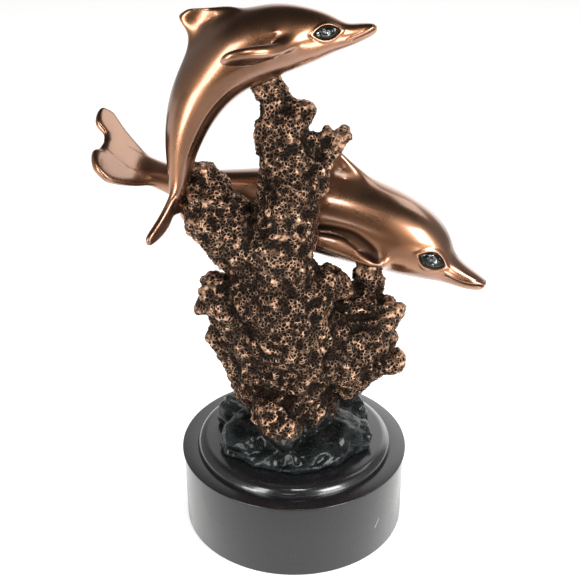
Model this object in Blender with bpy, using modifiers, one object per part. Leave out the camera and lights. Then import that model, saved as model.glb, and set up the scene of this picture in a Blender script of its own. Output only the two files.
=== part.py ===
import math

import bmesh
import bpy
from mathutils import Vector, noise
from mathutils.bvhtree import BVHTree

# Everything below is in millimetres; finish_mesh turns it into metres.
METRE = 0.001
WELD = 0.001
FIT_GAP = 0.3

# Turned plinth: a straight drum with a thin lip, and a raised step with a rounded edge.
DRUM_RADIUS = 62.4
LIP_RADIUS = 63.5
LIP_DEPTH = 1.2
LIP_CHAMFER = 0.4
DRUM_HEIGHT = 45.6
FOOT_BEVEL = 0.8
STEP_RADIUS = 54.9
STEP_HEIGHT = 6.0
STEP_ROUND = 4.0
STEP_ROUND_STEPS = 4
STEP_TOP = DRUM_HEIGHT + STEP_HEIGHT
PLINTH_SIDES = 56

# Dolphin cages: rings of 12 points, made wider because subdivision draws a ring in by this share.
RING_SIDES = 12
RING_SHRINK = 0.966
SPINE_STEPS = 16
TANGENT_REACH = 3.0
TOP_SIDE = RING_SIDES // 4 - 1
LEFT_SIDE = RING_SIDES - 1
RIGHT_SIDE = RING_SIDES // 2 - 1

# Rings are distance from the snout, then reach above, below and to each side of the spine. Fin steps are
# distance back, rise, chord and thickness. Flipper and fluke steps are back, out, rise, chord, sweep and
# thickness, on both sides alike unless the right one has its own. The eye is distance from the snout, angle
# above the flank, length, height and nose-up turn.
UPPER = {
    "spine": [(39, 0, 282.5), (26, 0, 280.5), (12, 0, 280), (0, 0, 278.5), (-13, 0, 275), (-25, 0, 269.5),
              (-36, 0, 261.5), (-44.5, 0, 251), (-50.5, 0, 239), (-54.5, 0, 226.5), (-57.5, 0, 214),
              (-59, 0, 201), (-60.5, 0, 190), (-61.5, 0, 178)],
    "rings": [(0, 1.4, 1.8, 2.0), (2, 2.6, 3.4, 3.6), (8, 3.5, 5.4, 4.8), (14, 3.9, 7.4, 6.0),
              (20, 7.6, 9.4, 8.0), (27, 11.2, 12.4, 11.0), (37, 14.2, 15.0, 13.8), (47, 16.4, 16.4, 15.2),
              (57, 17.6, 16.8, 16.2), (70, 18.4, 15.8, 16.4), (84, 17.8, 14.6, 15.2), (97, 15.4, 12.6, 13.0),
              (111, 12.8, 10.2, 10.4), (125, 9.8, 7.6, 7.8), (138, 6.8, 6.0, 5.8), (149, 4.6, 4.4, 5.0),
              (159, 3.4, 3.4, 5.4), (169, 2.6, 2.4, 4.6)],
    "roll": [(0, 8), (60, 10), (110, 16), (150, 32), (165, 33)],
    "fin_rings": (8, 10),
    "fin": [(-0.5, 22, 24, 5.0), (6, 27, 13.5, 3.6), (11, 31.6, 4.5, 2.8)],
    "flipper_rings": (6, 8),
    "flipper": [(3, 17, 0, 13, 10, 6.0), (11, 21, 0, 12.5, 40, 5.0), (21, 24, 0, 10, 55, 4.2),
                (29, 26, 0, 5, 60, 3.0)],
    "fluke_rings": (15, 17),
    "fluke": [(2.5, 7, 0, 16, 0, 3.8), (6, 12.5, 0, 12, -8, 3.4), (9.5, 17, 0, 8, -14, 3.0),
              (11, 19.5, 0, 3.5, -25, 2.4)],
    "eye": (24, 4, 13, 7.4, 6),
}

LOWER = {
    "spine": [(103, 6, 142), (92, 9, 147), (80, 13, 153), (68, 17, 159.5), (54, 21, 165.5), (38, 25, 171),
              (20, 27, 176), (0, 28.5, 179.5), (-20, 29, 182.5), (-38, 28, 186), (-55, 26, 191),
              (-70, 23, 198), (-84, 17, 206.5), (-101.5, 6, 221)],
    "rings": [(0, 1.4, 2.4, 2.4), (2, 2.6, 4.6, 4.4), (8, 3.8, 7.2, 6.2), (16, 4.9, 8.8, 7.6),
              (22.5, 6.8, 10.6, 9.6), (27, 11.2, 12.8, 12.0), (33, 15.8, 15.4, 14.4), (42, 20.2, 18.6, 17.8),
              (52, 22.4, 21.0, 20.2), (63, 24.0, 22.8, 21.6), (76, 24.4, 25.0, 22.4), (91, 23.8, 25.4, 22.2),
              (107, 22.6, 23.6, 20.6), (126, 19.4, 19.8, 17.4), (148, 14.8, 15.2, 13.0),
              (170, 9.8, 10.2, 9.0), (190, 6.2, 6.8, 7.2), (207, 4.6, 4.6, 8.0), (223, 3.4, 3.2, 6.6)],
    "roll": [(0, 0), (60, -2), (120, -10), (180, -24), (223, -28)],
    "fin_rings": (10, 12),
    "fin": [(3, 28, 24, 5.6), (11, 35, 15, 4.2), (18, 42, 6, 3.0)],
    "flipper_rings": (7, 9),
    "flipper": [(3, 23, 1, 16, 10, 6.6), (14, 29, -1.5, 15.5, 45, 5.0), (27, 33, -5.5, 12.5, 60, 3.8),
                (39, 35, -9, 6, 65, 2.4)],
    "fluke_rings": (16, 18),
    "fluke": [(4.5, 8.5, 0.5, 27, 0, 5.4), (12.3, 12.8, 1.5, 25.5, -4, 5.0), (15.8, 16.3, 2.5, 23, -8, 4.6),
              (13.6, 20.2, 3, 16, -14, 3.6)],
    "right_fluke": [(7, 8.5, 0.5, 32, 0, 5.4), (12, 11, 1.5, 28, 14, 5.0), (14.5, 13, 2.5, 23, 30, 4.6),
                    (15, 15.4, 3, 15.5, 44, 3.6)],
    "eye": (32, 6, 14, 8.4, 4),
}
# Eyes: an almond ball in an almond socket, with a groove of this width round it.
EYE_GROOVE = 0.9
EYE_BULGE = 0.7
SOCKET_DEPTH = 1.8
SOCKET_RISE = 0.6
OUTSIDE = 60.0
EYE_SEGMENTS = 12
EYE_RINGS = 6

# Coral: it stands on the plinth's step with the fit gap. Limbs are runs of balls (x, y, z, radius), each run
# one tapered branch.
CORAL_FOOT = STEP_TOP + FIT_GAP
LIMBS = [
    [(0, 0, 58, 26), (0, 0, 88, 24), (-2, -2, 122, 27), (-10, -5, 160, 19), (-3, -6, 190, 16),
     (-3.5, -5, 214, 13.5), (-7, -3, 233, 13.2), (-9, -1, 246.5, 7.5), (-13, 0, 257, 6)],
    [(-14, -1, 250, 5), (-19, -1, 256, 3.5)],
    [(-12, -2, 158, 20), (-32, 1, 179, 15), (-45, 4, 190, 12), (-40, 5, 199, 8), (-45, 5, 208, 5.5)],
    [(-17, -2, 142, 20), (-21, -2, 158, 12.6), (-45, 0, 182, 12)],
    [(12, 0, 116, 20), (36, 4, 132, 11), (42, 6, 142, 6.5), (39.5, 8, 151, 7.2)],
    [(24, -4, 100, 18), (41, -2, 117, 12), (51, -2, 130.5, 7.5)],
    [(34, -2, 108, 14), (50, -2, 114, 6)],
    [(26, -4, 93, 14.5), (44, -2, 99.5, 8.5), (55, -3, 99.5, 6)],
    [(-14, 0, 100, 19), (-29, -2, 124, 15), (-41, -2, 143, 9.5)],
    [(-29, -2, 128, 12), (-40, -2, 135, 9), (-49, -2, 133, 5.5)],
    [(-17, 0, 84, 17.5), (-24, 0, 98, 14), (-38, -2, 115, 9)],
    [(-2, -4, 238, 10), (5, -4, 243, 6)],
    [(0, -4, 216, 11), (9, -4, 226, 5), (16, -4, 231.5, 3.5)],
    [(3, -4, 204, 12), (15, -4, 216, 4.5), (23.5, -4, 230.8, 4.2)],
    [(-4, 22, 86, 16), (4, 30, 120, 14), (-6, 30, 146, 10)],
    [(8, -10, 136, 12), (18.5, -6, 152.5, 7), (26, -4, 145, 6)],
    [(-12, -22, 78, 12), (-4, -28, 70, 9)],
]
# Mound at its foot: flattened balls (x, y, z, wide, tall).
MOUND = [(0, 0, 50, 42, 20), (-22, -12, 54, 20, 16), (24, -8, 54, 20, 14), (6, -23, 52, 18, 12),
         (0, 20, 54, 23, 16), (-28, 10, 54, 16, 14), (28, 14, 54, 16, 14)]
BALL_SEGMENTS = 20
BALL_RINGS = 12
CORAL_VOXEL = 1.7
CORAL_TRIANGLES = 2500
# Swellings of the coral's surface: broad ones and finer ones, as shares of the lump size and height.
LUMP_SIZE = 9.0
LUMP_HEIGHT = 2.2
BROAD_STEP = 0.55
FINE_STEP = 1.1
FINE_HEIGHT = 0.6
LUMP_OFFSET = (3, 7, 1)


def clear_scene():
    for obj in list(bpy.data.objects):
        bpy.data.objects.remove(obj, do_unlink=True)


def make_collection(name):
    found = bpy.data.collections.new(name)
    bpy.context.scene.collection.children.link(found)
    return found


def principled(name, colour, metallic, roughness, coat=0.0):
    made = bpy.data.materials.new(name)
    made.use_nodes = True
    shader = made.node_tree.nodes["Principled BSDF"]
    shader.inputs["Base Color"].default_value = (*colour, 1)
    shader.inputs["Metallic"].default_value = metallic
    shader.inputs["Roughness"].default_value = roughness
    shader.inputs["Coat Weight"].default_value = coat
    made.diffuse_color = (*colour, 1)
    return made


def finish_mesh(bm, name, collection, material, smooth=True):
    bmesh.ops.recalc_face_normals(bm, faces=bm.faces)
    bmesh.ops.scale(bm, vec=Vector((METRE, METRE, METRE)), verts=bm.verts)
    mesh = bpy.data.meshes.new(name)
    bm.to_mesh(mesh)
    bm.free()
    mesh.polygons.foreach_set("use_smooth", [smooth] * len(mesh.polygons))
    if material:
        mesh.materials.append(material)
    obj = bpy.data.objects.new(name, mesh)
    collection.objects.link(obj)
    return obj


def evaluated_copy(obj, name):
    bpy.context.view_layer.update()
    graph = bpy.context.evaluated_depsgraph_get()
    mesh = bpy.data.meshes.new_from_object(obj.evaluated_get(graph), depsgraph=graph)
    mesh.name = name
    return mesh


def bmesh_in_mm(mesh):
    bm = bmesh.new()
    bm.from_mesh(mesh)
    bmesh.ops.scale(bm, vec=Vector((1, 1, 1)) / METRE, verts=bm.verts)
    return bm


def table_value(table, at):
    for (a, low), (b, high) in zip(table, table[1:]):
        if at <= b:
            return low + (high - low) * max(0.0, at - a) / (b - a)
    return table[-1][1]


def smooth_line(points):
    """A Catmull-Rom curve through the points."""
    points = [Vector(p) for p in points]
    ends = [2 * points[0] - points[1]] + points + [2 * points[-1] - points[-2]]
    line = []
    for a, b, c, d in zip(ends, ends[1:], ends[2:], ends[3:]):
        for i in range(SPINE_STEPS):
            t = i / SPINE_STEPS
            line.append(0.5 * (2 * b + (c - a) * t + (2 * a - 5 * b + 4 * c - d) * t * t
                               + (3 * b - 3 * c + d - a) * t ** 3))
    line.append(points[-1])
    return line


def point_along(line, distance):
    for a, b in zip(line, line[1:]):
        step = (b - a).length
        if distance <= step or b is line[-1]:
            return a + (b - a) * (distance / step)
        distance -= step


def frame_at(line, distance, roll):
    """Position, forward (to the snout), left and up of the body at this distance from the snout."""
    place = point_along(line, distance)
    ahead = point_along(line, max(0.0, distance - TANGENT_REACH))
    forward = (ahead - point_along(line, distance + TANGENT_REACH)).normalized()
    left = Vector((0, 1, 0))
    left = (left - left.dot(forward) * forward).normalized()
    up = forward.cross(left)
    turn = math.radians(roll)
    rolled_left = left * math.cos(turn) - up * math.sin(turn)
    rolled_up = up * math.cos(turn) + left * math.sin(turn)
    return place, forward, rolled_left, rolled_up


def ring_points(line, ring, roll):
    distance, above, below, wide = ring
    place, _, left, up = frame_at(line, distance, roll)
    points = []
    for side in range(RING_SIDES):
        angle = 2 * math.pi * (side + 0.5) / RING_SIDES
        tall = above if math.sin(angle) > 0 else below
        points.append(place + (left * wide * math.cos(angle) + up * tall * math.sin(angle)) / RING_SHRINK)
    return points


def grow_fin(bm, faces, axes, steps):
    """Extrudes a strip through steps of centre, chord axis, half chord, across axis, half thickness."""
    chord, across = axes
    verts = {v for f in faces for v in f.verts}
    centre = sum((v.co for v in verts), Vector()) / len(verts)
    half_chord = max(abs((v.co - centre).dot(chord)) for v in verts)
    for next_centre, next_chord, next_half_chord, next_across, half_thick in steps:
        made = bmesh.ops.extrude_face_region(bm, geom=faces)["geom"]
        bmesh.ops.delete(bm, geom=faces, context="FACES_ONLY")
        faces = [g for g in made if isinstance(g, bmesh.types.BMFace)]
        for v in {v for f in faces for v in f.verts}:
            along = (v.co - centre).dot(chord) / half_chord
            side = math.copysign(1, (v.co - centre).dot(across))
            v.co = next_centre + next_chord * next_half_chord * along + next_across * half_thick * side
        centre, chord, half_chord, across = next_centre, next_chord, next_half_chord, next_across


def side_face(rings, row, side):
    a, b = rings[row], rings[row + 1]
    after = (side + 1) % RING_SIDES
    return a[side], a[after], b[after], b[side]


def find_faces(bm, rings, span, side):
    wanted = [set(side_face(rings, row, side)) for row in range(*span)]
    return [f for f in bm.faces if set(f.verts) in wanted]


def root_frame(spec, line, name):
    """The body's frame in the middle of the strip that a fin, flipper or fluke grows from."""
    first, last = spec[name + "_rings"]
    middle = (spec["rings"][first][0] + spec["rings"][last][0]) / 2
    return frame_at(line, middle, table_value(spec["roll"], middle))


def dolphin_cage(spec):
    line = smooth_line(spec["spine"])
    bm = bmesh.new()
    rings = []
    for ring in spec["rings"]:
        points = ring_points(line, ring, table_value(spec["roll"], ring[0]))
        rings.append([bm.verts.new(p) for p in points])
    for row in range(len(rings) - 1):
        for side in range(RING_SIDES):
            bm.faces.new(side_face(rings, row, side))
    bm.faces.new(rings[0])
    bm.faces.new(reversed(rings[-1]))
    bmesh.ops.recalc_face_normals(bm, faces=bm.faces)

    place, forward, left, up = root_frame(spec, line, "fin")
    steps = [(place - forward * back + up * rise, forward, chord / 2, left, thick / 2)
             for back, rise, chord, thick in spec["fin"]]
    grow_fin(bm, find_faces(bm, rings, spec["fin_rings"], TOP_SIDE), (forward, left), steps)

    for name in ("flipper", "fluke"):
        place, forward, left, up = root_frame(spec, line, name)
        right_steps = spec.get("right_" + name, spec[name])
        for side, outward, sizes in ((LEFT_SIDE, left, spec[name]), (RIGHT_SIDE, -left, right_steps)):
            steps = []
            for back, out, rise, chord, turn, thick in sizes:
                turn = math.radians(turn)
                chord_axis = forward * math.cos(turn) + outward * math.sin(turn)
                steps.append((place - forward * back + outward * out + up * rise,
                              chord_axis, chord / 2, up, thick / 2))
            grow_fin(bm, find_faces(bm, rings, spec[name + "_rings"], side), (forward, up), steps)
    return bm


def eye_places(spec, mesh):
    """Centre, long axis, short axis and outward normal of each eye, found on the skin of the head."""
    bm = bmesh_in_mm(mesh)
    skin = BVHTree.FromBMesh(bm)
    bm.free()
    distance, rise, _, _, turn = spec["eye"]
    rise = math.radians(rise)
    turn = math.radians(turn)
    line = smooth_line(spec["spine"])
    place, forward, left, up = frame_at(line, distance, table_value(spec["roll"], distance))
    found = []
    for outward in (left, -left):
        towards = outward * math.cos(rise) + up * math.sin(rise)
        centre, normal, _, _ = skin.ray_cast(place + towards * OUTSIDE, -towards)
        along = forward * math.cos(turn) + up * math.sin(turn)
        along = (along - along.dot(normal) * normal).normalized()
        found.append((centre, along, normal.cross(along), normal))
    return found


def eye_shape(name, size, places, rise, depth, collection):
    """An almond ball at each eye: its (length, height), its centre's rise above the skin, its half depth."""
    length, height = size
    bm = bmesh.new()
    for centre, along, over, normal in places:
        ball = bmesh.ops.create_uvsphere(bm, u_segments=EYE_SEGMENTS, v_segments=EYE_RINGS, radius=1)
        for v in ball["verts"]:
            x, y, z = v.co
            sideways = along * z * length / 2 + over * x * height / 2
            v.co = centre + sideways + normal * (rise + y * depth)
    obj = finish_mesh(bm, name, collection, None)
    obj.hide_render = True
    obj.display_type = "WIRE"
    return obj


def add_boolean(obj, name, operation, cutter):
    change = obj.modifiers.new(name, "BOOLEAN")
    change.operation = operation
    change.solver = "EXACT"
    change.object = cutter


def make_dolphin(name, spec, collection, cutters, material):
    obj = finish_mesh(dolphin_cage(spec), name, collection, material)
    smooth = obj.modifiers.new("Round the cage", "SUBSURF")
    smooth.levels = 1
    smooth.render_levels = 1
    places = eye_places(spec, evaluated_copy(obj, name + " skin"))
    _, _, length, height, _ = spec["eye"]
    socket = eye_shape(name + " sockets", (length, height), places, SOCKET_RISE, SOCKET_RISE + SOCKET_DEPTH,
                       cutters)
    ball_size = (length - 2 * EYE_GROOVE, height - 2 * EYE_GROOVE)
    ball = eye_shape(name + " eyes", ball_size, places, -SOCKET_DEPTH, SOCKET_DEPTH + EYE_BULGE, cutters)
    add_boolean(obj, "Eye sockets", "DIFFERENCE", socket)
    add_boolean(obj, "Eyes", "UNION", ball)
    return obj


def make_plinth(collection, material):
    profile = [(0, STEP_TOP)]
    for i in range(STEP_ROUND_STEPS + 1):
        angle = math.pi / 2 * (1 - i / STEP_ROUND_STEPS)
        profile.append((STEP_RADIUS - STEP_ROUND + STEP_ROUND * math.cos(angle),
                        STEP_TOP - STEP_ROUND + STEP_ROUND * math.sin(angle)))
    profile += [(STEP_RADIUS, DRUM_HEIGHT), (LIP_RADIUS - LIP_CHAMFER, DRUM_HEIGHT),
                (LIP_RADIUS, DRUM_HEIGHT - LIP_CHAMFER), (LIP_RADIUS, DRUM_HEIGHT - LIP_DEPTH),
                (DRUM_RADIUS, DRUM_HEIGHT - 2 * LIP_DEPTH), (DRUM_RADIUS, FOOT_BEVEL),
                (DRUM_RADIUS - FOOT_BEVEL, 0), (0, 0)]
    bm = bmesh.new()
    verts = [bm.verts.new((x, 0, z)) for x, z in profile]
    edges = [bm.edges.new(pair) for pair in zip(verts, verts[1:])]
    bmesh.ops.spin(bm, geom=verts + edges, axis=(0, 0, 1), cent=(0, 0, 0), angle=2 * math.pi,
                   steps=PLINTH_SIDES, use_merge=True)
    bmesh.ops.remove_doubles(bm, verts=bm.verts, dist=WELD)
    return finish_mesh(bm, "plinth", collection, material, smooth=False)


def add_limb(bm, limb):
    for x, y, z, radius in limb:
        ball = bmesh.ops.create_uvsphere(bm, u_segments=BALL_SEGMENTS, v_segments=BALL_RINGS, radius=radius)
        bmesh.ops.translate(bm, vec=(x, y, z), verts=ball["verts"])
    for (*start, r0), (*end, r1) in zip(limb, limb[1:]):
        start, end = Vector(start), Vector(end)
        run = end - start
        stick = bmesh.ops.create_cone(bm, cap_ends=True, segments=BALL_SEGMENTS, radius1=r0, radius2=r1,
                                      depth=run.length)
        turn = Vector((0, 0, 1)).rotation_difference(run)
        bmesh.ops.rotate(bm, cent=(0, 0, 0), matrix=turn.to_matrix(), verts=stick["verts"])
        bmesh.ops.translate(bm, vec=(start + end) / 2, verts=stick["verts"])


def make_coral(collection, cutters, material, dolphins):
    bm = bmesh.new()
    for limb in LIMBS:
        add_limb(bm, limb)
    for x, y, z, wide, tall in MOUND:
        ball = bmesh.ops.create_uvsphere(bm, u_segments=BALL_SEGMENTS, v_segments=BALL_RINGS, radius=1)
        bmesh.ops.scale(bm, vec=(wide, wide, tall), verts=ball["verts"])
        bmesh.ops.translate(bm, vec=(x, y, z), verts=ball["verts"])
    rough = finish_mesh(bm, "coral rough", cutters, None)
    remesh = rough.modifiers.new("Join the limbs", "REMESH")
    remesh.mode = "VOXEL"
    remesh.voxel_size = CORAL_VOXEL * METRE
    mesh = evaluated_copy(rough, "coral")
    bpy.data.objects.remove(rough)

    bm = bmesh_in_mm(mesh)
    bm.normal_update()
    for v in bm.verts:
        place = v.co / LUMP_SIZE
        broad = noise.noise(place * BROAD_STEP + Vector(LUMP_OFFSET))
        fine = noise.noise(place * FINE_STEP)
        v.co += v.normal * (broad + FINE_HEIGHT * fine) * LUMP_HEIGHT
    bmesh.ops.bisect_plane(bm, geom=bm.verts[:] + bm.edges[:] + bm.faces[:], plane_co=(0, 0, CORAL_FOOT),
                           plane_no=(0, 0, -1), clear_outer=True)
    bmesh.ops.holes_fill(bm, edges=[e for e in bm.edges if e.is_boundary])
    coral = finish_mesh(bm, "coral", collection, material, smooth=False)
    thin = coral.modifiers.new("Fewer faces", "DECIMATE")
    faces = sum(len(p.vertices) - 2 for p in coral.data.polygons)
    thin.ratio = CORAL_TRIANGLES / faces
    for dolphin in dolphins:
        name = dolphin.name + " cutter"
        cutter = bpy.data.objects.new(name, evaluated_copy(dolphin, name))
        cutters.objects.link(cutter)
        cutter.hide_render = True
        cutter.display_type = "WIRE"
        grow = cutter.modifiers.new("Fit gap", "DISPLACE")
        grow.strength = FIT_GAP * METRE
        grow.mid_level = 0
        add_boolean(coral, "Clear the " + dolphin.name, "DIFFERENCE", cutter)
    return coral


def make_trophy():
    trophy = make_collection("dolphin trophy")
    cutters = make_collection("cutters")
    cutters.hide_render = True
    bronze = principled("bronze", (0.36, 0.17, 0.1), 1.0, 0.28)
    coral_bronze = principled("coral_bronze", (0.2, 0.12, 0.08), 0.7, 0.55)
    black = principled("black", (0.012, 0.012, 0.013), 0.0, 0.3, 0.5)
    make_plinth(trophy, black)
    upper = make_dolphin("upper_dolphin", UPPER, trophy, cutters, bronze)
    lower = make_dolphin("lower_dolphin", LOWER, trophy, cutters, bronze)
    make_coral(trophy, cutters, coral_bronze, [upper, lower])


clear_scene()
make_trophy()
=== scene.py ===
import math

import bmesh
import bpy
import numpy as np
from mathutils import Matrix, Vector, noise
from mathutils.bvhtree import BVHTree
from mathutils.kdtree import KDTree


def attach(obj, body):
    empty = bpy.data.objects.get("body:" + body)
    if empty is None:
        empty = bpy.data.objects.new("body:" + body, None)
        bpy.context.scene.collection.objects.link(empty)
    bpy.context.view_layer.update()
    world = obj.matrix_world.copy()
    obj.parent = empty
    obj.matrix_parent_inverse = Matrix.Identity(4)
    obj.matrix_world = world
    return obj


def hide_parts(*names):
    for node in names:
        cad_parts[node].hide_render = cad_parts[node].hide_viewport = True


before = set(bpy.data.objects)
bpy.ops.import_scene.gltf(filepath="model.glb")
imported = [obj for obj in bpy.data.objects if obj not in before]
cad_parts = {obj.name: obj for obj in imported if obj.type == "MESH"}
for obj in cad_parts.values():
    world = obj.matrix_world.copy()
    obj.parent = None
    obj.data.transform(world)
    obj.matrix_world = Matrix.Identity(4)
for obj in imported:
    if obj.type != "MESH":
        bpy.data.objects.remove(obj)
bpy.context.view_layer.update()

mm = 0.001  # shapes are worked out in millimetres and scaled once, when a piece is finished


# Node helpers

class Wire:
    # a node's output, so that shader maths reads as plain arithmetic
    def __init__(self, recipe, socket):
        self.recipe = recipe
        self.socket = socket

    def maths(self, operation, *others):
        return self.recipe.node("ShaderNodeMath", {"operation": operation}, dict(enumerate((self, *others))))

    def swapped(self, operation, first):
        return self.recipe.node("ShaderNodeMath", {"operation": operation}, {0: first, 1: self})

    def __add__(self, other):
        return self.maths("ADD", other)

    def __radd__(self, other):
        return self.swapped("ADD", other)

    def __sub__(self, other):
        return self.maths("SUBTRACT", other)

    def __rsub__(self, other):
        return self.swapped("SUBTRACT", other)

    def __mul__(self, other):
        return self.maths("MULTIPLY", other)

    def __rmul__(self, other):
        return self.swapped("MULTIPLY", other)

    def step(self, low, high):  # eases from 0 at low to 1 at high
        return self.recipe.node("ShaderNodeMapRange", {"interpolation_type": "SMOOTHSTEP"},
                                {"Value": self, "From Min": low, "From Max": high})

    def within(self, full, gone):  # 1 as far as full on both sides of zero, easing to 0 at gone
        return 1 - self.maths("ABSOLUTE").step(full, gone)


class Recipe:
    # one node tree, of a material, the world or a geometry modifier
    def __init__(self, tree):
        self.tree = tree

    def node(self, kind, settings=None, inputs=None, output=0):
        made = self.tree.nodes.new(kind)
        for name, value in (settings or {}).items():
            setattr(made, name, value)
        for name, value in (inputs or {}).items():
            self.feed(made.inputs[name], value)
        return Wire(self, made.outputs[output])

    def feed(self, socket, value):
        if isinstance(value, Wire):
            self.tree.links.new(value.socket, socket)
        elif socket.type == "RGBA" and len(value) == 3:
            socket.default_value = (*value, 1)
        else:
            socket.default_value = value

    def mix(self, share, a, b):  # by number, because the node's sockets for colours share their names
        return self.node("ShaderNodeMix", {"data_type": "RGBA"}, {0: share, 6: a, 7: b}, 2)

    def attribute(self, name, output="Fac"):
        return self.node("ShaderNodeAttribute", {"attribute_name": name}, {}, output)

    def ray(self, kind):  # 1 for a ray of this kind
        return self.node("ShaderNodeLightPath", {}, {}, f"Is {kind} Ray")

    def objectPlace(self):
        return self.node("ShaderNodeTexCoord", {}, {}, "Object")

    def axis(self, place, name):
        return self.node("ShaderNodeSeparateXYZ", {}, {0: place}, name)

    def noise(self, place, scale, detail, roughness=0.5):
        return self.node("ShaderNodeTexNoise", {},
                         {"Vector": place, "Scale": scale, "Detail": detail, "Roughness": roughness})

    def cellEdge(self, cell):  # how far a place is from the edge of its cell
        return self.node("ShaderNodeTexVoronoi", {"feature": "DISTANCE_TO_EDGE"},
                         {"Vector": cell, "Scale": 1.0})

    def bump(self, strength, depth, height):
        return self.node("ShaderNodeBump", {}, {"Strength": strength, "Distance": depth, "Height": height})


def newMaterial(name):
    made = bpy.data.materials.new(name)
    made.use_nodes = True
    return made, Recipe(made.node_tree), made.node_tree.nodes["Principled BSDF"]


def setSockets(recipe, shader, values):
    for name, value in values.items():
        recipe.feed(shader.inputs[name], value)


# Mesh helpers

def evaluatedMesh(obj):
    bpy.context.view_layer.update()
    graph = bpy.context.evaluated_depsgraph_get()
    return bpy.data.meshes.new_from_object(obj.evaluated_get(graph), depsgraph=graph)


def meshObject(bm, name):
    mesh = bpy.data.meshes.new(name)
    bm.to_mesh(mesh)
    bm.free()
    obj = bpy.data.objects.new(name, mesh)
    bpy.context.scene.collection.objects.link(obj)
    return obj


def applyModifiers(obj):
    mesh = evaluatedMesh(obj)
    old = obj.data
    obj.modifiers.clear()
    obj.data = mesh
    bpy.data.meshes.remove(old)
    return mesh


def storePoints(mesh, name, values):
    layer = mesh.attributes.new(name, "FLOAT", "POINT")
    layer.data.foreach_set("value", np.asarray(values, np.float32))


def pointPlaces(mesh):
    places = np.empty(len(mesh.vertices) * 3, np.float32)
    mesh.vertices.foreach_get("co", places)
    return places.reshape(-1, 3)


def pointNormals(mesh):
    normals = np.empty(len(mesh.vertices) * 3, np.float32)
    mesh.vertex_normals.foreach_get("vector", normals)
    return normals.reshape(-1, 3)


def crestHeights(mesh, rounds):
    # how far each point stands out of the mean of its surroundings, below zero in a hollow
    places = pointPlaces(mesh).astype(np.float64)
    ends = np.empty(len(mesh.edges) * 2, np.int32)
    mesh.edges.foreach_get("vertices", ends)
    a, b = ends.reshape(-1, 2).T
    count = np.bincount(a, minlength=len(places)) + np.bincount(b, minlength=len(places))
    mean = places
    for _ in range(rounds):
        mean = np.stack([(np.bincount(a, mean[b, i], len(places)) + np.bincount(b, mean[a, i], len(places)))
                         / np.maximum(count, 1) for i in range(3)], 1)
    return ((places - mean) * pointNormals(mesh)).sum(1)


def ease(value, low, high):  # from 0 at low to 1 at high, whichever of them is the greater
    t = min(1.0, max(0.0, (value - low) / (high - low)))
    return t * t * (3 - 2 * t)


def band(value, limits):  # 1 where every pair of limits has eased to 1
    return math.prod(ease(value, low, high) for low, high in limits)


def shadeSmooth(obj, sharpAngle=None):
    mesh = obj.data
    mesh.polygons.foreach_set("use_smooth", [True] * len(mesh.polygons))
    if sharpAngle:
        bm = bmesh.new()
        bm.from_mesh(mesh)
        for edge in bm.edges:
            edge.smooth = edge.calc_face_angle(0) < math.radians(sharpAngle)
        bm.to_mesh(mesh)
        bm.free()


def joinTrophy(piece, node, material):
    piece.data.materials.clear()
    piece.data.materials.append(material)
    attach(piece, "root")
    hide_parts(node)


# Camera, floor and light

studio = {
    "cameraPlace": (-0.0023, -0.5195, 0.4108), "cameraPitch": 27.35, "lens": 68.08, "sensorWidth": 36,
    "floorSize": 6.0, "floorColour": (0.9, 0.9, 0.89), "floorRoughness": 0.9, "floorGlow": 0.4,
    # painted shade: reflections show the floor darker on the camera's side, over these places from front to
    # back
    "floorMirroredShade": (0.26, 0.26, 0.26), "floorShadeFades": (-0.24, 0.0),
    # the world's strength: what the camera sees, and the soft light on matt surfaces
    "backdrop": 1.0, "fill": 0.55,
    # what polished metal mirrors: a dim wall all round, bright at the back right, and a dark ceiling
    "frontWall": 0.28, "backWall": 2.1, "ceiling": 0.05,
    # where the bright part comes in to the back and the right, and where the wall ends at the top,
    # as parts of a direction of length 1
    "wallBehind": (0.50, 0.84), "wallRight": (-0.45, 0.25), "wallTop": (0.55, 0.80),
    # width, height and y of a dark card just behind the camera, which only reflections show
    "darkCard": (0.52, 0.80, -0.56), "cardColour": (0.02, 0.02, 0.02),
    "softboxes": [  # name, place, aimed at, width, height, watts, mirrored
        ("left softbox", (-0.54, -0.72, 0.42), (0, 0, 0.22), 0.22, 0.78, 4.2, True),
        ("left reflector", (-0.36, -0.34, 0.01), (-0.05, 0, 0.25), 0.14, 0.34, 1.3, True),
        ("right softbox", (0.62, -0.70, 0.52), (0.02, 0, 0.18), 0.36, 0.44, 7.5, True),
        ("right reflector", (0.27, -0.33, 0.01), (0.03, 0, 0.25), 0.22, 0.24, 1.2, True),
        ("tail card", (0.30, 0.16, 0.485), (-0.095, 0.015, 0.22), 0.20, 0.15, 0.225, True),
        ("front lamp", (0.03, -0.257, 0.462), (0.02, -0.05, 0.18), 0.08, 0.06, 0.24, True),
        ("front bar", (-0.05, -0.50, 0.19), (0.02, 0, 0.21), 0.11, 0.06, 0.062, True),
        ("top softbox", (0.0, 0.35, 1.3), (0, 0, 0.1), 0.9, 0.5, 6.0, False),
    ],
}


def placeCamera():
    camera = bpy.data.cameras.new("camera")
    camera.lens = studio["lens"]
    camera.sensor_width = studio["sensorWidth"]
    camera.clip_start = 0.01
    holder = bpy.data.objects.new("camera", camera)
    holder.location = studio["cameraPlace"]
    holder.rotation_euler = (math.radians(90 - studio["cameraPitch"]), 0, 0)
    bpy.context.scene.collection.objects.link(holder)
    bpy.context.scene.camera = holder


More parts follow.
